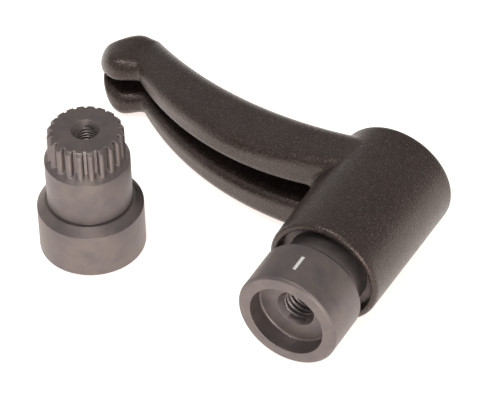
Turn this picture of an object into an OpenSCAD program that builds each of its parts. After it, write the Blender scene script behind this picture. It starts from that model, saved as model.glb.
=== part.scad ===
// Adjustable clamping lever with a splined, threaded hub, and a spare hub beside it.
// The hub axis lies along +Y and the arm points to -X. The lever lies on its side.
// The origin is on the hub axis, at the first full turn of the clamping thread.
// "Station" means the distance from the hub's face along its axis, towards the closed end of the boss.

/* [Hub collar] */
// Diameter of the collar
collar_d = 30; // [29:0.5:31]
// Length of the collar, with its rear bevel
collar_len = 17; // [16.5:0.1:17]
// Length of the rear bevel
rear_bevel = 2.3; // [2:0.1:2.5]
// Chamfer around the face
face_chamfer = 0.7; // [0.2:0.1:1]
// Outer diameter of the flat land on the face
land_d = 25.2; // [24:0.1:26]
// Diameter of the recess in the face
recess_d = 22.2; // [21:0.1:23]
// Depth of the recess in the face
recess_depth = 5.5; // [4:0.1:6.5]

/* [Hub shank] */
// Diameter of the shank
shank_d = 24; // [24:0.1:24.4]
// Station of the end of the shank
shoulder_at = 31.6; // [29:0.1:31.8]
// Length of the cone between the shank and the grooves
runout = 2.2; // [1.5:0.1:2.4]

/* [Hub splines] */
// Number of ribs
rib_count = 20; // [12:2:20]
// Diameter over the ribs
rib_d = 21.6; // [21.2:0.1:21.8]
// Diameter at the floor of the grooves
groove_floor_d = 18.4; // [18:0.1:18.8]
// Width of a rib at its crest
rib_w = 1.9; // [1.5:0.1:1.9]
// Chamfer at the end of the ribs
rib_chamfer = 1.1; // [0.5:0.1:1.2]
// Station of the end of the ribs
hub_len = 42; // [41.5:0.1:42]
// Turn of the spare hub's ribs, in degrees
spare_phase = 2.4; // [0:0.2:18]

/* [Threads] */
// Minor diameter of the M10 clamping thread
clamp_thread_d = 8.5; // [8.4:0.1:8.6]
// Length of the M10 hole below its countersink
clamp_thread_len = 16; // [12:1:16]
// Minor diameter of the M6 retaining thread
screw_thread_d = 5; // [4.9:0.1:5.1]
// Depth of the M6 hole
screw_thread_len = 13; // [10:1:14]
// Depth of the countersink at the M10 hole
clamp_countersink = 1.45; // [0.8:0.05:1.6]
// Depth of the countersink at the M6 hole
screw_countersink = 1.6; // [0.8:0.1:1.8]

/* [Boss] */
// Radius of the boss at its mouth
boss_mouth_r = 16.6; // [16.5:0.1:17]
// Radius of the boss at its closed end
boss_end_r = 17.25; // [17.05:0.1:18.05]
// Station of the boss's mouth, with the lever raised
boss_mouth_at = 20.9; // [20.8:0.1:21.5]
// Station of the boss's closed end, with the lever raised
boss_end_at = 66; // [65.5:0.1:68]
// Rounding of the mouth's outer edge
mouth_round = 1.4; // [0.8:0.1:1.5]
// Radius of the opening in the mouth
mouth_r = 14.75; // [14.5:0.05:14.8]
// Travel that takes the splines into mesh
lift = 5.4; // [4:0.1:5.4]

/* [Arm] */
// Reach of the arm from the hub axis
arm_reach = 102.5; // [101:0.5:105]
// Half the height of the knob at the tip
knob_half = 10.9; // [10.4:0.1:11.5]
// Half the height of the arm at its neck
neck_half = 10; // [9:0.1:10.3]
// Height of the channel at its root
root_slot = 7.6; // [6:0.1:9]
// Height of the channel at the tip
tip_slot = 4.2; // [3.5:0.1:6]
// Thickness of the wall behind the channel
web = 4; // [3:0.1:4.5]

/* [Spare hub] */
// Place of the spare hub across the hub axis
spare_x = -72.5; // [-90:0.1:-60]
// Place of the spare hub along the hub axis
spare_y = 12.3; // [0:0.1:14]

/* [Hidden] */
$fn = 96;
tiny = 0.01;
origin_at = recess_depth + clamp_countersink;
floor_z = -boss_end_r;

// Fits
slide_gap = 0.05;
tooth_gap = 0.1;
clearance = 0.3;
bush_r = 14;
bush_inset = 3.5;
flange_t = 1.6;
teeth_at = hub_len + clearance;
flange_at = hub_len + lift + tooth_gap;
chamber_at = flange_at + flange_t;
chamber_r = 9.2;
bush_mouth_at = boss_mouth_at + bush_inset;

// Cap and retaining stack
cap_r = 11;
cap_t = 2.2;
cap_seat_at = boss_end_at - cap_t;
screw_r = 3;
head_h = 3.3;
head_r = 5.25;
head_clearance = 0.4;
head_at = cap_seat_at - lift - head_h - head_clearance;
socket_af = 4;
socket_depth = 2;
screw_len = 20;
retainer_t = 1;
retainer_r = 8;
washer_t = 0.8;
washer_r = 8.9;
wire_r = 0.4;
spring_turns = 3;
spring_low_r = 7.6;
spring_high_r = 5.2;
spring_steps = 20;
wire_sides = 8;

// Index mark: a short straight line on the collar
mark_len = 5.4;
mark_w = 0.9;
mark_depth = 0.25;
mark_at = 8;
mark_angle = -90;

// Relief behind the collar, and bevel outside the face's land
undercut_r = 11.6;
undercut_w = 0.45;
land_drop = 0.15;

// Ribs: each is a round crest on a body that widens a little to its foot
rib_r = rib_d / 2;
core_r = groove_floor_d / 2;
crest_r = rib_w / 2;
foot_w = 2.2;

// Arm, as (reach, station) points seen along the arm's thin direction
front_root = [0, 50.2];
front_bend = [30, 41.1];
front_rise = [62.2, 50.2];
front_end = [85.2, 69.1];
back_root = [0, 63.1];
back_bend = [34.8, 62.4];
back_rise = [61.6, 68.8];
back_end = [86, 84.4];
knob_back = [89.8, 84.5];
knob_tip = [arm_reach, 76.9];
knob_front = [92.4, 67.2];
neck_at = 86;
knob_at = 92;
knob_wall = 2.3;
channel_front = 40;
channel_start = boss_end_r + 0.3;
curve_steps = 10;

// The roll that lets the knob touch the surface that the boss lies on
arm_roll = asin((boss_end_r - knob_half) / knob_at);

// Points of a cubic curve from a to d, without its last point
function curve(a, b, c, d, n = curve_steps) = [
    for (i = [0 : n - 1])
        let (u = i / n, v = 1 - u)
        v * v * v * a + 3 * v * v * u * b + 3 * v * u * u * c + u * u * u * d
];

// Puts a piece whose axis is +Z, with its face at zero, on the hub axis
module on_axis() {
    translate([0, -origin_at, 0]) rotate([-90, 0, 0]) children();
}

// A plain washer or ring between two stations
module ring(outer, inner, low, high) {
    translate([0, 0, low]) difference() {
        cylinder(r = outer, h = high - low);
        translate([0, 0, -tiny]) cylinder(r = inner, h = high - low + 2 * tiny);
    }
}

// Outline of the ribs and the core between them, made larger by a gap for the bush
module rib_star(gap) {
    circle(r = core_r + gap);
    for (i = [0 : rib_count - 1]) rotate(i * 360 / rib_count) {
        translate([rib_r - crest_r, 0]) circle(r = crest_r + gap, $fn = 32);
        polygon([
            [core_r - 1, -foot_w / 2 - gap],
            [core_r, -foot_w / 2 - gap],
            [rib_r - crest_r, -crest_r - gap],
            [rib_r - crest_r, crest_r + gap],
            [core_r, foot_w / 2 + gap],
            [core_r - 1, foot_w / 2 + gap]
        ]);
    }
}

// Splined end of a hub, with the ends of its ribs chamfered
module splined_end() {
    low = shoulder_at - 1;
    beyond = 1;
    intersection() {
        translate([0, 0, low]) linear_extrude(hub_len - low) rib_star(0);
        rotate_extrude() polygon([
            [0, low],
            [rib_r + beyond, low],
            [rib_r + beyond, hub_len - rib_chamfer - beyond],
            [rib_r - rib_chamfer, hub_len],
            [0, hub_len]
        ]);
    }
}

// Collar, shank and cone of a hub, standing on its face
module hub_body() {
    collar_r = collar_d / 2;
    shank_r = shank_d / 2;
    recess_r = recess_d / 2;
    inside = 0.2;
    slope = runout / (shank_r - core_r);
    rotate_extrude() polygon([
        [0, recess_depth],
        [recess_r, recess_depth],
        [recess_r, 0],
        [land_d / 2, 0],
        [collar_r - face_chamfer, land_drop],
        [collar_r, face_chamfer + land_drop],
        [collar_r, collar_len - rear_bevel],
        [collar_r - rear_bevel, collar_len],
        [undercut_r, collar_len],
        [undercut_r, collar_len + undercut_w],
        [shank_r, collar_len + undercut_w],
        [shank_r, shoulder_at],
        [core_r - inside, shoulder_at + runout + inside * slope],
        [0, shoulder_at + runout + inside * slope]
    ]);
}

// One splined hub, standing on its face
module hub_blank() {
    clamp_r = clamp_thread_d / 2;
    end_hole_r = screw_thread_d / 2;
    difference() {
        union() {
            hub_body();
            splined_end();
        }
        translate([0, 0, recess_depth - 1])
            cylinder(r = clamp_r, h = 1 + clamp_countersink + clamp_thread_len);
        translate([0, 0, recess_depth - tiny])
            cylinder(r1 = clamp_r + clamp_countersink, r2 = clamp_r, h = clamp_countersink);
        translate([0, 0, hub_len - screw_thread_len]) cylinder(r = end_hole_r, h = screw_thread_len + 1);
        translate([0, 0, hub_len - screw_countersink + tiny])
            cylinder(r1 = end_hole_r, r2 = end_hole_r + screw_countersink, h = screw_countersink);
    }
}

// The painted line's own space in the collar's skin
module mark_space(depth) {
    rotate(mark_angle) intersection() {
        ring(collar_d / 2, collar_d / 2 - depth, mark_at - mark_len / 2, mark_at + mark_len / 2);
        translate([0, -mark_w / 2, 0]) cube([collar_d, mark_w, collar_len]);
    }
}

module fitted_hub() {
    color("#4a4a4e") on_axis() difference() {
        hub_blank();
        mark_space(mark_depth);
    }
}

module index_mark() {
    color("white") on_axis() mark_space(mark_depth);
}

module spare_hub() {
    color("#4a4a4e") translate([spare_x, spare_y, floor_z]) rotate(spare_phase) hub_blank();
}

// Side outline of the arm in (reach, station)
module arm_side() {
    polygon(concat(
        curve(front_root, front_bend, front_rise, front_end),
        curve(front_end, front_end + [1.5, 0.6], knob_front + [-3, 0.4], knob_front, 5),
        curve(knob_front, knob_front + [6, 0], knob_tip - [0, 1], knob_tip),
        curve(knob_tip, knob_tip + [0, 2], knob_back + [4, 0], knob_back, 8),
        curve(knob_back, knob_back - [1.2, 0], back_end + [1.2, 0.1], back_end, 3),
        curve(back_end, back_rise, back_bend, back_root),
        [back_root]
    ));
}

// Side outline of the channel, open at the front
module channel_side() {
    inner_x = arm_reach - knob_wall;
    polygon(concat(
        [
            [0, channel_front],
            [inner_x, channel_front],
            [inner_x, knob_tip.y - 3],
            [knob_back.x - 1, knob_back.y - web - 0.6]
        ],
        curve(back_end - [0, web], back_rise - [0, web], back_bend - [0, web], back_root - [0, web]),
        [back_root - [0, web]]
    ));
}

// Outline of the arm from the front, in (reach, height)
module arm_front() {
    root_half = 17;
    neck = [neck_at, neck_half];
    knob = [knob_at, knob_half];
    end = arm_reach + 1.7;
    half = concat(
        curve([0, root_half], [30, 12.9], [55, 13.8], neck),
        curve(neck, neck + [2, 0], knob - [2, 0], knob, 6),
        curve(knob, knob + [5, 0], [end - 1.1, 7.6], [end, 0])
    );
    polygon(concat(half, [for (i = [len(half) - 1 : -1 : 0]) [half[i].x, -half[i].y]]));
}

// Outline of the channel from the front: it narrows from its root to the tip
module channel_front_view() {
    polygon([
        [channel_start, -root_slot / 2],
        [arm_reach, -tip_slot / 2],
        [arm_reach, tip_slot / 2],
        [channel_start, root_slot / 2]
    ]);
}

// Stretches a (reach, height) outline along the hub axis
module front_slab() {
    translate([0, 100, 0]) rotate([90, 0, 0]) linear_extrude(100) mirror([1, 0]) children();
}

// Turns (reach, station) outlines into slabs of the given height about the arm's middle plane
module slab(height) {
    translate([0, -origin_at, -height / 2]) linear_extrude(height) mirror([1, 0]) children();
}

module arm() {
    rotate([0, -arm_roll, 0]) difference() {
        intersection() {
            slab(2 * boss_end_r) arm_side();
            front_slab() arm_front();
        }
        intersection() {
            slab(2 * root_slot) channel_side();
            front_slab() channel_front_view();
        }
    }
}

// Half section of the boss's outside in (radius, station), with both edges rounded
module boss_section() {
    end_round = 1.6;
    polygon([
        [0, boss_mouth_at],
        [boss_mouth_r - mouth_round, boss_mouth_at],
        [boss_mouth_r, boss_mouth_at + mouth_round],
        [boss_end_r, boss_end_at - end_round],
        [boss_end_r - end_round, boss_end_at],
        [0, boss_end_at]
    ]);
    translate([boss_mouth_r - mouth_round, boss_mouth_at + mouth_round]) circle(r = mouth_round, $fn = 48);
    translate([boss_end_r - end_round, boss_end_at - end_round]) circle(r = end_round, $fn = 48);
}

module lever_casting() {
    rim = 0.2;
    color("#2c2624") difference() {
        union() {
            on_axis() rotate_extrude() boss_section();
            arm();
        }
        on_axis() {
            translate([0, 0, boss_mouth_at - 1]) cylinder(r = mouth_r, h = 1 + bush_inset);
            translate([0, 0, boss_mouth_at - tiny]) cylinder(r1 = mouth_r + rim, r2 = mouth_r, h = rim);
            translate([0, 0, boss_mouth_at]) cylinder(r = bush_r, h = chamber_at - boss_mouth_at);
            translate([0, 0, chamber_at - 1]) cylinder(r = chamber_r, h = cap_seat_at - chamber_at + 2);
            translate([0, 0, cap_seat_at]) cylinder(r = cap_r, h = cap_t + 1);
        }
    }
}

// Steel bush: guide bore for the shank, teeth for the splines, and a flange that the washer bears on
module toothed_bush() {
    guide_end_at = shoulder_at + lift + 1.2;
    relief_r = rib_r + clearance;
    color("#8a8a8c") on_axis() difference() {
        translate([0, 0, bush_mouth_at]) cylinder(r = bush_r, h = chamber_at - bush_mouth_at);
        translate([0, 0, bush_mouth_at - 1])
            cylinder(r = shank_d / 2 + slide_gap, h = guide_end_at - bush_mouth_at + 1);
        translate([0, 0, guide_end_at - tiny]) cylinder(r = relief_r, h = teeth_at - guide_end_at + tiny);
        translate([0, 0, teeth_at - tiny]) linear_extrude(flange_at - teeth_at + tiny) rib_star(tooth_gap);
        translate([0, 0, flange_at - tiny]) cylinder(r = screw_r + clearance, h = flange_t + 1);
    }
}

// Closing cap with a slightly dished face
module end_cap() {
    cap_gap = 0.02;
    edge = 0.5;
    land = 3;
    color("#26262a") on_axis() translate([0, 0, cap_seat_at]) rotate_extrude() polygon([
        [0, 0],
        [cap_r - cap_gap, 0],
        [cap_r - cap_gap, cap_t - edge],
        [cap_r - cap_gap - edge, cap_t],
        [cap_r - land, cap_t],
        [cap_r - land - edge, cap_t - edge],
        [0, cap_t - edge]
    ]);
}

module thrust_washer() {
    color("#a7a7a9") on_axis() ring(washer_r, screw_r + 0.2, chamber_at, chamber_at + washer_t);
}

module retainer_washer() {
    color("#9a9a9c") on_axis() ring(retainer_r, screw_r + slide_gap, head_at - retainer_t, head_at);
}

// Button-head cap screw: its threaded end is drawn at the thread's minor diameter
module retaining_screw() {
    dome_r = 7;
    neck_from = hub_len + 0.2;
    color("#333338") on_axis() difference() {
        union() {
            translate([0, 0, head_at - screw_len])
                cylinder(r = screw_thread_d / 2 - slide_gap, h = screw_len);
            translate([0, 0, neck_from]) cylinder(r = screw_r, h = head_at - neck_from + tiny);
            intersection() {
                translate([0, 0, head_at]) cylinder(r = head_r, h = head_h);
                translate([0, 0, head_at + head_h - dome_r]) sphere(r = dome_r);
            }
        }
        translate([0, 0, head_at + head_h - socket_depth])
            cylinder(r = socket_af / sqrt(3), h = socket_depth + 1, $fn = 6);
    }
}

// Conical compression spring between the two washers, drawn as it stands with the lever raised
module lift_spring() {
    low = chamber_at + washer_t + wire_r + slide_gap;
    high = head_at - retainer_t - wire_r - slide_gap;
    rings = spring_turns * spring_steps;
    points = [
        for (i = [0 : rings])
            let (u = i / rings, turn = 360 * spring_turns * u)
            for (k = [0 : wire_sides - 1])
                let (
                    around = 360 * k / wire_sides,
                    r = spring_low_r + (spring_high_r - spring_low_r) * u + wire_r * cos(around),
                    z = low + (high - low) * u + wire_r * sin(around)
                )
                [r * cos(turn), r * sin(turn), z]
    ];
    faces = concat(
        [[for (k = [0 : wire_sides - 1]) k]],
        [for (i = [0 : rings - 1]) for (k = [0 : wire_sides - 1])
            let (next = (k + 1) % wire_sides)
            [
                i * wire_sides + k,
                (i + 1) * wire_sides + k,
                (i + 1) * wire_sides + next,
                i * wire_sides + next
            ]
        ],
        [[for (k = [wire_sides - 1 : -1 : 0]) rings * wire_sides + k]]
    );
    color("#b9b9bb") on_axis() polyhedron(points, faces);
}

lever_casting();
toothed_bush();
end_cap();
thrust_washer();
lift_spring();
retainer_washer();
retaining_screw();
fitted_hub();
index_mark();
spare_hub();
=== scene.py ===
"""Looks for the indexing clamping lever: a coated casting, blackened splined hubs and the small parts inside.

Lengths are in millimetres in this script, and become metres when a mesh is made. "Station" is the distance from the
hub's face along the hub axis. Hub pieces are built standing on their face along +Z, then laid along the hub axis.
"""

import math

import bmesh
import bpy
import numpy as np
import openvdb
from mathutils import Matrix, Vector


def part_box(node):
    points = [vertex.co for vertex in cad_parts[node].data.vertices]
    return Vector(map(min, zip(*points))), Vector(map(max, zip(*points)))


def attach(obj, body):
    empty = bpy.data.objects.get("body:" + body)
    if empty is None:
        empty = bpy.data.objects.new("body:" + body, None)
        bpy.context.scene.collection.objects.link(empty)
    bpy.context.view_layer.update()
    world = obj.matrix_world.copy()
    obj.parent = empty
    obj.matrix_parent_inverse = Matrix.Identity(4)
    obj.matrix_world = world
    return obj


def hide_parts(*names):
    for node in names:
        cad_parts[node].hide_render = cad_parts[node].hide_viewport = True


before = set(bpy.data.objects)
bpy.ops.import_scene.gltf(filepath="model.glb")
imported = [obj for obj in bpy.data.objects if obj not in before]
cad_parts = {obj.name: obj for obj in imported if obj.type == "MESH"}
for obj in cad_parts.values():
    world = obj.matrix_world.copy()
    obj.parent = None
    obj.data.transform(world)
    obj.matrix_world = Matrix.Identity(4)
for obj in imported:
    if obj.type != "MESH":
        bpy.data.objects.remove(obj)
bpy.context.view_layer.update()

MM = 0.001


def box_mm(node):
    """A CAD node's lowest and highest corners in millimetres."""
    low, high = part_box(node)
    return low / MM, high / MM


# ---------------------------------------------------------------- sizes, from model.glb where it gives them
hub_low, hub_high = box_mm("fitted_hub")
spare_low, spare_high = box_mm("spare_hub")
cast_low, cast_high = box_mm("lever_casting")
cap_low, cap_high = box_mm("end_cap")
bush_low, bush_high = box_mm("toothed_bush")

FACE_Y = hub_low.y
FLOOR_Z = spare_low.z
SPARE_AT = ((spare_low.x + spare_high.x) / 2, (spare_low.y + spare_high.y) / 2)

COLLAR_R = (hub_high.x - hub_low.x) / 2
HUB_LEN = hub_high.y - hub_low.y
COLLAR_LEN = 17.0
REAR_BEVEL = 2.3
FACE_CHAMFER = 0.7
LAND_R = 12.6
LAND_DROP = 0.15
RECESS_R = 11.1
RECESS_DEPTH = 5.5
UNDERCUT_R = 11.6
UNDERCUT_W = 0.45
SHANK_R = 12.0
SHOULDER_AT = 31.6
RUNOUT = 2.2
RIB_COUNT = 20
RIB_R = 10.8
CORE_R = 9.2
CREST_R = 0.95
RIB_FOOT = 1.1
RIB_CHAMFER = 1.1
SPARE_PHASE = math.radians(2.4)

CLAMP_THREAD = {"minor": 4.25, "major": 5.0, "pitch": 1.5, "length": 16.0}
SCREW_THREAD = {"minor": 2.5, "major": 3.0, "pitch": 1.0, "length": 11.4}
CLAMP_COUNTERSINK = 1.45
SCREW_COUNTERSINK = 1.6

BOSS_MOUTH_R = 16.6
BOSS_END_R = 17.25
BOSS_MOUTH_AT = 20.9
BOSS_END_AT = 66.0
MOUTH_ROUND = 1.4
END_ROUND = 1.6
MOUTH_R = 14.75
MOUTH_RIM = 0.2
BUSH_R = bush_high.x
BUSH_MOUTH_AT = bush_low.y - FACE_Y
CHAMBER_AT = bush_high.y - FACE_Y
CHAMBER_R = 9.2
CAP_R = 11.0
CAP_SEAT_AT = cap_low.y - FACE_Y

ARM_REACH = 102.5
ROOT_HALF = 17.0
KNOB_HALF = 10.9
NECK_HALF = 10.0
ROOT_SLOT = 3.8
TIP_SLOT = 2.1
WEB = 4.0
KNOB_WALL = 2.3
VALLEY = 0.8
FRONT_DRAFT = 0.04
NECK_AT = 86.0
KNOB_AT = 92.0
ARM_ROLL = math.asin((BOSS_END_R - KNOB_HALF) / KNOB_AT)

ON_AXIS = Matrix.Translation(Vector((0, FACE_Y * MM, 0))) @ Matrix.Rotation(-math.pi / 2, 4, "X")
SPARE_SPOT = Vector((SPARE_AT[0], SPARE_AT[1], FLOOR_Z)) * MM
SPARE_PLACE = Matrix.Translation(SPARE_SPOT) @ Matrix.Rotation(SPARE_PHASE, 4, "Z")


# ---------------------------------------------------------------- node materials
class Nodes:
    """A small helper that adds nodes and links to one material."""

    def __init__(self, name):
        self.material = bpy.data.materials.new(name)
        self.material.use_nodes = True
        self.tree = self.material.node_tree
        self.shader = self.tree.nodes["Principled BSDF"]
        self.place = self.add("ShaderNodeTexCoord").outputs["Object"]

    def add(self, kind, **settings):
        node = self.tree.nodes.new(kind)
        for key, value in settings.items():
            setattr(node, key, value)
        return node

    def link(self, source, target):
        self.tree.links.new(source, target)

    def noise(self, scale, detail=4.0, roughness=0.55, where=None):
        node = self.add("ShaderNodeTexNoise")
        node.inputs["Scale"].default_value = scale
        node.inputs["Detail"].default_value = detail
        node.inputs["Roughness"].default_value = roughness
        self.link(where or self.place, node.inputs["Vector"])
        return node.outputs["Fac"]

    def speckle(self, scale):
        node = self.add("ShaderNodeTexVoronoi", feature="F1")
        node.inputs["Scale"].default_value = scale
        self.link(self.place, node.inputs["Vector"])
        return node.outputs["Distance"]

    def squeeze(self, x, y, z):
        """The object's coordinates, each axis stretched by its own factor."""
        node = self.add("ShaderNodeMapping")
        node.inputs["Scale"].default_value = (x, y, z)
        self.link(self.place, node.inputs["Vector"])
        return node.outputs["Vector"]

    def remap(self, value, low, high, out_low, out_high):
        node = self.add("ShaderNodeMapRange", interpolation_type="SMOOTHSTEP")
        for key, number in (("From Min", low), ("From Max", high), ("To Min", out_low), ("To Max", out_high)):
            node.inputs[key].default_value = number
        self.link(value, node.inputs["Value"])
        return node.outputs["Result"]

    def math(self, operation, a, b):
        node = self.add("ShaderNodeMath", operation=operation)
        for socket, value in zip(node.inputs, (a, b)):
            if isinstance(value, (int, float)):
                socket.default_value = value
            else:
                self.link(value, socket)
        return node.outputs["Value"]

    def mix(self, factor, a, b):
        """Blends two colours. The node's sockets 6, 7 and output 2 are the colour ones."""
        node = self.add("ShaderNodeMix", data_type="RGBA")
        self.link(factor, node.inputs["Factor"])
        for socket, value in ((node.inputs[6], a), (node.inputs[7], b)):
            if isinstance(value, tuple):
                socket.default_value = (*value, 1.0)
            else:
                self.link(value, socket)
        return node.outputs[2]

    def bump(self, height, distance, strength=1.0, before=None):
        node = self.add("ShaderNodeBump")
        node.inputs["Distance"].default_value = distance
        node.inputs["Strength"].default_value = strength
        self.link(height, node.inputs["Height"])
        if before is not None:
            self.link(before, node.inputs["Normal"])
        return node.outputs["Normal"]

    def edge_sheen_and_wear(self, radius):
        """0 on flat ground, rising to 1 on convex edges, from the angle between the plain and the bevelled normal."""
        bevel = self.add("ShaderNodeBevel", samples=6)
        bevel.inputs["Radius"].default_value = radius
        plain = self.add("ShaderNodeNewGeometry").outputs["Normal"]
        dot = self.add("ShaderNodeVectorMath", operation="DOT_PRODUCT")
        self.link(bevel.outputs["Normal"], dot.inputs[0])
        self.link(plain, dot.inputs[1])
        return self.remap(dot.outputs["Value"], 0.995, 0.90, 0.0, 1.0)

    def finish(self, colour, roughness, normal, metallic=0.0):
        self.link(colour, self.shader.inputs["Base Color"])
        self.link(roughness, self.shader.inputs["Roughness"])
        self.link(normal, self.shader.inputs["Normal"])
        self.shader.inputs["Metallic"].default_value = metallic
        return self.material


def coated_casting():
    """Dark brown-black baked coating over a sand-grained casting, with pale dust specks."""
    n = Nodes("coated_casting")
    grain = n.noise(2400, 5.0, 0.62)
    pits = n.speckle(1500)
    patches = n.noise(90, 4.0, 0.6)
    waves = n.noise(260, 3.0, 0.5)
    dark = n.mix(n.remap(patches, 0.35, 0.7, 0.0, 1.0), (0.013, 0.0082, 0.0072), (0.021, 0.0142, 0.0124))
    specks = n.remap(n.noise(2300, 2.0, 0.55), 0.50, 0.72, 0.0, 0.8)
    colour = n.mix(specks, dark, (0.085, 0.070, 0.062))
    shine = n.remap(grain, 0.3, 0.7, 0.26, 0.40)
    relief = n.bump(waves, 0.00012, 0.35)
    relief = n.bump(n.remap(pits, 0.0, 0.6, 0.0, 1.0), 0.00008, 0.7, relief)
    relief = n.bump(grain, 0.00007, 0.8, relief)
    n.shader.inputs["Specular Tint"].default_value = (1.0, 0.82, 0.76, 1.0)
    n.shader.inputs["Specular IOR Level"].default_value = 0.62
    return n.finish(colour, shine, relief)


def black_oxide():
    """Blackened turned steel: fine lathe lines across the axis, a cloudy blue-brown cast, and lighter convex edges
    that are a painted highlight as well as bare steel worn through the oxide.
    """
    n = Nodes("black_oxide")
    lines = n.noise(1.0, 3.0, 0.7, n.squeeze(60, 60, 9000))
    clouds = n.noise(160, 5.0, 0.6)
    fine = n.noise(5200, 3.0, 0.6)
    cool, warm = (0.140, 0.122, 0.124), (0.190, 0.158, 0.147)
    base = n.mix(n.remap(clouds, 0.3, 0.7, 0.0, 1.0), cool, warm)
    base = n.mix(n.remap(fine, 0.62, 0.80, 0.0, 0.35), base, (0.32, 0.29, 0.27))
    # painted highlight on convex edges, lightened towards bare steel, standing for edge glints as well as worn oxide
    colour = n.mix(n.edge_sheen_and_wear(0.00025), base, (0.38, 0.35, 0.33))
    blend = n.math("ADD", n.math("MULTIPLY", lines, 0.6), n.math("MULTIPLY", clouds, 0.4))
    shine = n.remap(blend, 0.3, 0.7, 0.36, 0.52)
    relief = n.bump(lines, 0.00002, 0.35)
    relief = n.bump(fine, 0.00001, 0.5, relief)
    return n.finish(colour, shine, relief, 0.75)


def machined_steel(name, tint, roughness):
    """Bare machined steel with lathe lines."""
    n = Nodes(name)
    lines = n.noise(1.0, 3.0, 0.7, n.squeeze(80, 80, 12000))
    clouds = n.noise(220, 4.0, 0.55)
    darker = tuple(c * 0.72 for c in tint)
    colour = n.mix(n.remap(clouds, 0.3, 0.7, 0.0, 1.0), darker, tint)
    shine = n.remap(lines, 0.3, 0.7, roughness - 0.07, roughness + 0.08)
    relief = n.bump(lines, 0.00002, 0.5)
    return n.finish(colour, shine, relief, 1.0)


def cap_lacquer():
    """Satin black lacquer on a pressed disc."""
    n = Nodes("cap_lacquer")
    peel = n.noise(900, 3.0, 0.5)
    clouds = n.noise(120, 4.0, 0.6)
    colour = n.mix(n.remap(clouds, 0.3, 0.7, 0.0, 1.0), (0.016, 0.016, 0.018), (0.026, 0.025, 0.026))
    shine = n.remap(peel, 0.3, 0.7, 0.30, 0.42)
    relief = n.bump(peel, 0.00004, 0.4)
    return n.finish(colour, shine, relief)


def mark_paint():
    """Thick white marking paint, a little uneven."""
    n = Nodes("mark_paint")
    lumps = n.noise(1800, 3.0, 0.5)
    colour = n.mix(n.remap(lumps, 0.35, 0.7, 0.0, 1.0), (0.97, 0.96, 0.94), (0.90, 0.89, 0.87))
    shine = n.remap(lumps, 0.3, 0.7, 0.50, 0.65)
    relief = n.bump(lumps, 0.00004, 0.6)
    return n.finish(colour, shine, relief)


# ---------------------------------------------------------------- mesh helpers
HUB_SHARP = 50
CAST_SHARP = 40


def smooth_object(name, mesh, sharp_angle):
    """A linked object with smooth shading, except across edges sharper than the angle in degrees."""
    mesh.update()
    mesh.shade_smooth()
    mesh.set_sharp_from_angle(angle=math.radians(sharp_angle))
    obj = bpy.data.objects.new(name, mesh)
    bpy.context.scene.collection.objects.link(obj)
    return obj


def finished(obj, place, body, node, material):
    """Puts a piece in place with its material, hangs it on its body, and hides the CAD part it replaces."""
    obj.matrix_world = place
    obj.data.materials.append(material)
    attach(obj, body)
    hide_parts(node)
    return obj


def even_angles(count):
    return np.linspace(0, 2 * math.pi, count, endpoint=False)


def lathe_mesh(name, rings, angles):
    """A closed mesh through rings of (radius, height), each a number or an array over the angles.
    A ring of radius zero is a pole. Rings that fall on each other are welded."""
    count = len(angles)
    bm = bmesh.new()
    rows = []
    for radius, height in rings:
        if np.isscalar(radius) and radius == 0:
            rows.append([bm.verts.new((0, 0, height * MM))] * count)
            continue
        r = np.broadcast_to(radius, count)
        z = np.broadcast_to(height, count)
        rows.append([bm.verts.new((r[i] * math.cos(a) * MM, r[i] * math.sin(a) * MM, z[i] * MM))
                     for i, a in enumerate(angles)])
    for low, high in zip(rows, rows[1:]):
        for i in range(count):
            j = (i + 1) % count
            corners = list(dict.fromkeys((low[i], low[j], high[j], high[i])))
            if len(corners) > 2:
                bm.faces.new(corners)
    bmesh.ops.remove_doubles(bm, verts=bm.verts, dist=1e-7)
    bmesh.ops.recalc_face_normals(bm, faces=bm.faces)
    mesh = bpy.data.meshes.new(name)
    bm.to_mesh(mesh)
    bm.free()
    return mesh


def rounded(points, radii, steps=4):
    """The path through the points with each inner corner rounded by its radius."""
    points = [np.array(p, float) for p in points]
    path = [points[0]]
    for before, corner, after, radius in zip(points, points[1:], points[2:], radii):
        if radius == 0:
            path.append(corner)
            continue
        back, ahead = before - corner, after - corner
        back, ahead = back / np.linalg.norm(back), ahead / np.linalg.norm(ahead)
        half = math.acos(np.clip(back @ ahead, -1, 1)) / 2
        reach = radius / math.tan(half)
        middle = corner + (back + ahead) / np.linalg.norm(back + ahead) * radius / math.sin(half)
        first, last = corner + back * reach - middle, corner + ahead * reach - middle
        sweep = math.pi - 2 * half
        for i in range(steps + 1):
            u = i / steps
            path.append(middle + (math.sin((1 - u) * sweep) * first + math.sin(u * sweep) * last) / math.sin(sweep))
    return path + [points[-1]]


def thread_rings(thread, start, up, angles):
    """Rings of a helical thread in a wall, from the height start, going up or down by the thread's length.
    The rings climb with the helix, and flatten to a plain circle of the pitch radius at both ends."""
    middle = (thread["minor"] + thread["major"]) / 2
    half = (thread["major"] - thread["minor"]) / 2
    pitch, length = thread["pitch"], thread["length"]
    shape = (-1.0, -1.0, -0.2, 1.0, 1.0, 0.2)
    turns = int(math.ceil(length / pitch)) + 1
    climb = pitch * angles / (2 * math.pi)
    rings = [(middle, start)]
    for k in range(-len(shape), turns * len(shape)):
        depth = np.clip(climb + k * pitch / len(shape), 0, length)
        ease = np.clip(np.minimum(depth, length - depth) / (0.45 * pitch), 0, 1)
        rings.append((middle + half * shape[k % len(shape)] * ease, start + (depth if up else -depth)))
    rings.append((middle, start + (length if up else -length)))
    return rings


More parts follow.
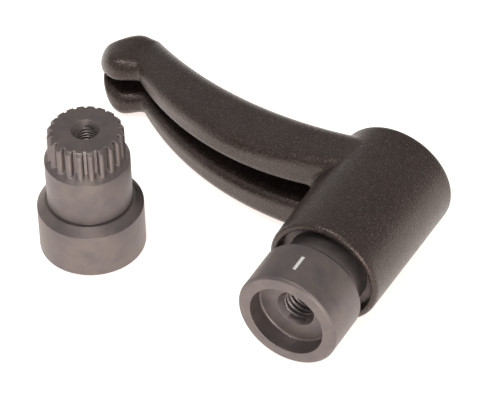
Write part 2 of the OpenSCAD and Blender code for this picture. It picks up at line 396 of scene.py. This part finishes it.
# ---------------------------------------------------------------- splined hub
def rib_angles():
    """Angles round the hub, with columns at the crest, its ends and the foot of every rib."""
    pitch = 2 * math.pi / RIB_COUNT
    foot = RIB_FOOT / CORE_R
    side = CREST_R / (RIB_R - CREST_R)
    crest = side * np.array([0.12, 0.35, 0.56, 0.74, 0.88])
    half = np.concatenate([crest, [side, (side + foot) / 2, foot, (foot + pitch / 2) / 2]])
    one = np.concatenate([-half[::-1], half, [pitch / 2]])
    return np.concatenate([one + i * pitch for i in range(RIB_COUNT)])


def rib_radius(angles):
    """Radius of the splined outline: ribs with round crests and slightly spread feet, on a round core."""
    pitch = 2 * math.pi / RIB_COUNT
    off = np.abs((angles + pitch / 2) % pitch - pitch / 2)
    middle = RIB_R - CREST_R
    across = middle * np.sin(off)
    crest = middle * np.cos(off) + np.sqrt(np.maximum(CREST_R ** 2 - across ** 2, 0))
    side = CREST_R / middle
    foot = RIB_FOOT / CORE_R
    flank = middle + (CORE_R - middle) * (off - side) / (foot - side)
    return np.where(off <= side, crest, np.clip(flank, CORE_R, middle))


def hub_mesh(name):
    angles = rib_angles()
    ribs = rib_radius(angles)
    clamp_mid = (CLAMP_THREAD["minor"] + CLAMP_THREAD["major"]) / 2
    screw_mid = (SCREW_THREAD["minor"] + SCREW_THREAD["major"]) / 2
    recess_top = RECESS_DEPTH + CLAMP_COUNTERSINK
    thread_end = recess_top + CLAMP_THREAD["length"]
    rings = [(0.0, thread_end + 1.2), (CLAMP_THREAD["minor"], thread_end)]
    rings += thread_rings(CLAMP_THREAD, recess_top, True, angles)[::-1]
    rings += rounded(
        [(clamp_mid, recess_top), (CLAMP_THREAD["minor"] + CLAMP_COUNTERSINK, RECESS_DEPTH), (RECESS_R, RECESS_DEPTH),
         (RECESS_R, 0), (LAND_R, 0), (COLLAR_R - FACE_CHAMFER, LAND_DROP), (COLLAR_R, FACE_CHAMFER + LAND_DROP),
         (COLLAR_R, COLLAR_LEN - REAR_BEVEL), (COLLAR_R - REAR_BEVEL, COLLAR_LEN), (UNDERCUT_R, COLLAR_LEN),
         (UNDERCUT_R, COLLAR_LEN + UNDERCUT_W), (SHANK_R, COLLAR_LEN + UNDERCUT_W), (SHANK_R, SHOULDER_AT),
         (CORE_R, SHOULDER_AT + RUNOUT)],
        [0.08, 0.7, 0.18, 0.15, 0.35, 0.35, 0.2, 0.2, 0.1, 0.08, 0.12, 0.15])[:-1]
    slope = RUNOUT / (SHANK_R - CORE_R)
    foot = SHOULDER_AT + (SHANK_R - ribs) * slope
    rings.append((np.minimum(ribs + 0.25, SHANK_R - 0.3), foot - 0.25 * slope))
    rings.append((ribs + 0.07, foot + 0.02))
    rings.append((ribs, foot + 0.20))
    top = HUB_LEN - RIB_CHAMFER + np.maximum(RIB_R - ribs, 0)
    top = np.minimum(top, HUB_LEN - 0.02)
    cut = np.minimum(ribs, RIB_R - RIB_CHAMFER)
    rings.append((ribs, top - 0.05))
    rings.append((ribs - 0.03, np.minimum(top + 0.02, HUB_LEN - 0.01)))
    rings.append((cut + 0.04 * (ribs > cut), np.full(len(angles), HUB_LEN - 0.03)))
    rings.append((cut - 0.05, np.full(len(angles), HUB_LEN)))
    rings += [(cut * 0.5 + 4.0, HUB_LEN), (6.5, HUB_LEN)]
    rings += rounded([(5, HUB_LEN), (SCREW_THREAD["minor"] + SCREW_COUNTERSINK, HUB_LEN),
                      (screw_mid, HUB_LEN - SCREW_COUNTERSINK)], [0.12], 3)
    rings += thread_rings(SCREW_THREAD, HUB_LEN - SCREW_COUNTERSINK, False, angles)
    bottom = HUB_LEN - SCREW_COUNTERSINK - SCREW_THREAD["length"]
    rings += [(SCREW_THREAD["minor"], bottom), (0.0, bottom - 0.6)]
    return lathe_mesh(name, rings, angles)


# ---------------------------------------------------------------- casting, from distance fields
def curve(a, b, c, d, steps):
    """Points of a cubic curve from a to d, without its last point."""
    u = np.arange(steps)[:, None] / steps
    v = 1 - u
    a, b, c, d = (np.array(p, float) for p in (a, b, c, d))
    return v ** 3 * a + 3 * v * v * u * b + 3 * v * u * u * c + u ** 3 * d


def outline_distance(points, x, y):
    """Signed distance from a closed outline at the grid points, negative inside."""
    best = np.full(np.broadcast(x, y).shape, 1e9)
    inside = np.zeros(best.shape, bool)
    for (ax, ay), (bx, by) in zip(points, np.roll(points, -1, axis=0)):
        ex, ey = bx - ax, by - ay
        along = np.clip(((x - ax) * ex + (y - ay) * ey) / max(ex * ex + ey * ey, 1e-12), 0, 1)
        best = np.minimum(best, (x - ax - along * ex) ** 2 + (y - ay - along * ey) ** 2)
        if ay != by:
            inside ^= ((ay > y) != (by > y)) & (x < (bx - ax) * (y - ay) / (by - ay) + ax)
    return np.where(inside, -1, 1) * np.sqrt(best)


def meet(a, b, radius):
    """The overlap of two fields, with the edge between them rounded by the radius."""
    a, b = a + radius, b + radius
    return np.minimum(np.maximum(a, b), 0) + np.hypot(np.maximum(a, 0), np.maximum(b, 0)) - radius


def joined(a, b, radius):
    """The union of two fields, with a round fillet where they cross."""
    reach = np.hypot(np.maximum(radius - a, 0), np.maximum(radius - b, 0))
    return np.maximum(radius, np.minimum(a, b)) - reach


def cut_away(a, b, radius):
    """The first field without the second, with the edge between them rounded by the radius."""
    return meet(a, -b, radius)


def ease(value, low, high):
    u = np.clip((value - low) / (high - low), 0, 1)
    return u * u * (3 - 2 * u)


# points of the arm's side outline in (reach, station)
FRONT_END, BACK_END = np.array((85.2, 69.1)), np.array((86, 84.4))
KNOB_BACK, KNOB_TIP, KNOB_FRONT = np.array((89.8, 84.5)), np.array((ARM_REACH, 76.9)), np.array((92.4, 67.2))
BACK_ROOT_AT = 63.1


def back_curve(inset=0.0):
    """The arm's back from the knob to the hub axis, moved forward by the inset."""
    return curve(BACK_END - (0, inset), (61.6, 68.8 - inset), (34.8, 62.4 - inset), (0, BACK_ROOT_AT - inset), 40)


def arm_outline():
    """Side outline of the arm in (reach, station)."""
    return np.concatenate([
        curve((0, 50.2), (30, 41.1), (62.2, 50.2), FRONT_END, 40),
        curve(FRONT_END, FRONT_END + (1.5, 0.6), KNOB_FRONT + (-3, 0.4), KNOB_FRONT, 12),
        curve(KNOB_FRONT, KNOB_FRONT + (6, 0), KNOB_TIP - (0, 0.8), KNOB_TIP, 20),
        curve(KNOB_TIP, KNOB_TIP + (0, 1.2), KNOB_BACK + (3.8, 0), KNOB_BACK, 20),
        curve(KNOB_BACK, KNOB_BACK - (1.2, 0), BACK_END + (1.2, 0.1), BACK_END, 6),
        back_curve(),
        [(0, BACK_ROOT_AT)]])


def channel_outline():
    """Side outline of the channel, open at the front."""
    inner = ARM_REACH - KNOB_WALL
    in_front = 36
    return np.concatenate([
        [(0, in_front), (inner, in_front), (inner, KNOB_TIP[1] - 3), KNOB_BACK - (1, WEB + 0.6)],
        back_curve(WEB),
        [(0, BACK_ROOT_AT - WEB)]])


def back_station(reach):
    """Station of the arm's back at each distance from the hub axis."""
    line = back_curve()[::-1]
    return np.interp(reach, line[:, 0], line[:, 1])


def half_height(reach):
    """Half the arm's height at each distance from the hub axis."""
    end = ARM_REACH + 1.7
    neck, knob = np.array((NECK_AT, NECK_HALF)), np.array((KNOB_AT, KNOB_HALF))
    line = np.concatenate([
        curve((0, ROOT_HALF), (30, 12.9), (55, 13.8), neck, 40),
        curve(neck, neck + (2, 0), knob - (2, 0), knob, 12),
        curve(knob, knob + (5, 0), (end - 1.1, 7.6), (end, 0), 40),
        [(end, 0)]])
    return np.interp(reach, line[:, 0], line[:, 1], left=ROOT_HALF, right=0.0)


def casting_field(reach, station, height):
    """Signed distance of the outside of the casting, with its channel."""
    side = outline_distance(arm_outline(), reach[:, :, 0], station[:, :, 0])[:, :, None]
    valley = VALLEY * np.exp(-(height / 2.2) ** 2) * ease(reach, 94, 101)
    half = half_height(reach)
    slope = np.gradient(half[:, 0, 0], reach[:, 0, 0])[:, None, None]
    top = (np.abs(height) - half) / np.sqrt(1 + slope ** 2)
    ahead = np.clip(back_station(reach) - station, 0, 20)
    edge = 5.4 - 2.2 * ease(ahead, 5, 10)
    arm = meet(side + valley, top + FRONT_DRAFT * ahead, edge)
    channel = outline_distance(channel_outline(), reach[:, :, 0], station[:, :, 0])[:, :, None]
    slot = ROOT_SLOT + (TIP_SLOT - ROOT_SLOT) * (reach - BOSS_END_R) / (ARM_REACH - BOSS_END_R)
    channel = meet(channel, np.abs(height) - slot, 1.0)
    lip = 2.5 + 0.5 * ease(reach, 82, 90) - 2.3 * ease(reach, 95.5, 99.5)
    arm = cut_away(arm, channel, lip)
    fillet = 0.3 + 2.2 * (1 - ease(np.abs(height), 8, 15))
    radius = BOSS_MOUTH_R + (BOSS_END_R - BOSS_MOUTH_R) * (station - BOSS_MOUTH_AT) / (BOSS_END_AT - BOSS_MOUTH_AT)
    wall = np.hypot(reach, height) - radius
    ends = np.maximum(BOSS_MOUTH_AT - station, station - BOSS_END_AT)
    boss = meet(wall, ends, np.where(station < 40, MOUTH_ROUND, END_ROUND))
    whole = joined(arm, boss, fillet)
    rolled = height * math.cos(ARM_ROLL) - reach * math.sin(ARM_ROLL)
    return np.maximum(whole, np.abs(rolled) - BOSS_END_R)


def field_mesh(name, field, low, step):
    """A mesh of the zero surface of a field on a regular grid, in the grid's own millimetres."""
    band = 4 * step
    grid = openvdb.FloatGrid(band)
    grid.copyFromArray(np.clip(field, -band, band).astype(np.float32))
    points, triangles, quads = grid.convertToPolygons(0.0, 0.0)
    mesh = bpy.data.meshes.new(name)
    points = points * step + np.array(low)
    faces = [tuple(map(int, q)) for q in quads] + [tuple(map(int, t)) for t in triangles]
    mesh.from_pydata([tuple(map(float, p)) for p in points], [], faces)
    return mesh


def bore_cutter():
    """The machined hollow right through the boss, as a closed mesh standing on the hub's face."""
    beyond = 3
    path = [(0.0, BOSS_MOUTH_AT - beyond), (MOUTH_R + MOUTH_RIM + beyond, BOSS_MOUTH_AT - beyond),
            (MOUTH_R, BOSS_MOUTH_AT + MOUTH_RIM), (MOUTH_R, BUSH_MOUTH_AT), (BUSH_R, BUSH_MOUTH_AT),
            (BUSH_R, CHAMBER_AT), (CHAMBER_R, CHAMBER_AT), (CHAMBER_R, CAP_SEAT_AT), (CAP_R, CAP_SEAT_AT),
            (CAP_R, BOSS_END_AT - 0.3), (CAP_R + 3.3, BOSS_END_AT + beyond), (0.0, BOSS_END_AT + beyond)]
    return lathe_mesh("bore_cutter", path, even_angles(240))


def casting():
    step = 0.4
    low = (-20.0, BOSS_MOUTH_AT - 2, -19.0)
    high = (ARM_REACH + 3, 87.0, 19.0)
    axes = [np.arange(a, b, step) for a, b in zip(low, high)]
    reach, station, height = np.meshgrid(*axes, indexing="ij", sparse=True)
    reach, station, height = (np.asarray(a, float) for a in (reach, station, height))
    field = casting_field(*np.broadcast_arrays(reach, station, height))
    mesh = field_mesh("lever_casting_cast", field, low, step)
    turn = Matrix.Rotation(-ARM_ROLL, 4, "Y")
    to_row = Matrix(((-MM, 0, 0, 0), (0, MM, 0, FACE_Y * MM), (0, 0, MM, 0), (0, 0, 0, 1)))
    mesh.transform(turn @ to_row)
    bm = bmesh.new()
    bm.from_mesh(mesh)
    bmesh.ops.recalc_face_normals(bm, faces=bm.faces)
    bm.to_mesh(mesh)
    bm.free()
    obj = smooth_object("lever_casting_cast", mesh, CAST_SHARP)
    cutter = bpy.data.objects.new("bore_cutter", bore_cutter())
    cutter.matrix_world = ON_AXIS
    bpy.context.scene.collection.objects.link(cutter)
    cut = obj.modifiers.new("bore", "BOOLEAN")
    cut.operation = "DIFFERENCE"
    cut.solver = "EXACT"
    cut.object = cutter
    bpy.context.view_layer.update()
    bored = bpy.data.meshes.new_from_object(obj.evaluated_get(bpy.context.evaluated_depsgraph_get()))
    obj.modifiers.remove(cut)
    obj.data = bored
    bored.materials.clear()
    bored.shade_smooth()
    bored.set_sharp_from_angle(angle=math.radians(CAST_SHARP))
    bpy.data.objects.remove(cutter)
    return obj


# ---------------------------------------------------------------- pieces
oxide = black_oxide()
steel = machined_steel("machined_steel", (0.46, 0.46, 0.47), 0.32)
wire = machined_steel("spring_wire", (0.42, 0.42, 0.43), 0.28)

finished(casting(), Matrix.Identity(4), "lever", "lever_casting", coated_casting())
for body, node, place in (("hub", "fitted_hub", ON_AXIS), ("spare", "spare_hub", SPARE_PLACE)):
    turned = smooth_object(node + "_turned", hub_mesh(node + "_turned"), HUB_SHARP)
    finished(turned, place, body, node, oxide)

for node, material in (("toothed_bush", oxide), ("thrust_washer", steel), ("retainer_washer", steel),
                       ("retaining_screw", oxide), ("lift_spring", wire), ("end_cap", cap_lacquer()),
                       ("index_mark", mark_paint())):
    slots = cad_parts[node].data.materials
    slots.clear()
    slots.append(material)


# ---------------------------------------------------------------- stage, light and camera
def stage_floor():
    """A pale lit table: its glow is what brightens the undersides, and it leaves hardly any shadow."""
    n = Nodes("floor_paper")
    tone = n.noise(6, 2.0, 0.5)
    colour = n.mix(tone, (0.90, 0.90, 0.89), (0.92, 0.915, 0.905))
    n.link(colour, n.shader.inputs["Base Color"])
    n.shader.inputs["Roughness"].default_value = 0.9
    n.shader.inputs["Emission Color"].default_value = (1.0, 0.90, 0.85, 1.0)
    n.shader.inputs["Emission Strength"].default_value = 0.85
    mesh = bpy.data.meshes.new("stage_floor")
    half = 4.0
    below_parts = 0.02
    mesh.from_pydata([(-half, -half, 0), (half, -half, 0), (half, half, 0), (-half, half, 0)], [], [(0, 1, 2, 3)])
    floor = bpy.data.objects.new("stage_floor", mesh)
    floor.location.z = (FLOOR_Z - below_parts) * MM
    mesh.materials.append(n.material)
    bpy.context.scene.collection.objects.link(floor)


LIGHTS_AIM = Vector((-0.03, 0.03, 0))


def soft_light(name, where, size, power, colour):
    """A round area light in metres and watts, turned to the parts."""
    light = bpy.data.lights.new(name, "AREA")
    light.shape = "DISK"
    light.size = size
    light.energy = power
    light.color = colour
    obj = bpy.data.objects.new(name, light)
    obj.location = where
    obj.rotation_euler = (LIGHTS_AIM - Vector(where)).to_track_quat("-Z", "Y").to_euler()
    bpy.context.scene.collection.objects.link(obj)


def world_light():
    """A dim, slightly warm surround."""
    world = bpy.data.worlds.new("soft_white")
    world.use_nodes = True
    background = world.node_tree.nodes["Background"]
    background.inputs["Color"].default_value = (1.0, 0.97, 0.95, 1)
    background.inputs["Strength"].default_value = 0.52
    bpy.context.scene.world = world


def camera():
    """A long lens from the right, well above, a little rolled."""
    azimuth, elevation, roll = (math.radians(a) for a in (30.3, 42.9, -2.29))
    target = Vector((-39.8, 51.42 + FACE_Y, FLOOR_Z)) * MM
    distance = 1192.7 * MM
    forward = Vector((-math.sin(azimuth) * math.cos(elevation), math.cos(azimuth) * math.cos(elevation),
                      -math.sin(elevation)))
    level = forward.cross(Vector((0, 0, 1))).normalized()
    upright = level.cross(forward)
    right = level * math.cos(roll) + upright * math.sin(roll)
    up = right.cross(forward)
    data = bpy.data.cameras.new("camera")
    data.lens = 302.75
    data.sensor_width = 36
    data.clip_start = 0.05
    data.clip_end = 20
    obj = bpy.data.objects.new("camera", data)
    turn = Matrix((right, up, -forward)).transposed().to_4x4()
    obj.matrix_world = Matrix.Translation(target - forward * distance) @ turn
    bpy.context.scene.collection.objects.link(obj)
    bpy.context.scene.camera = obj


stage_floor()
world_light()
soft_light("key", (-0.1, -0.35, 1.15), 0.3, 4.5, (1.0, 0.99, 0.97))
soft_light("front", (0.55, -1.0, 1.05), 0.9, 1.5, (1.0, 0.96, 0.94))
soft_light("low", (0.45, -0.95, 0.12), 0.3, 5.0, (1.0, 0.95, 0.92))
camera()
bpy.context.scene.view_settings.view_transform = "Standard"
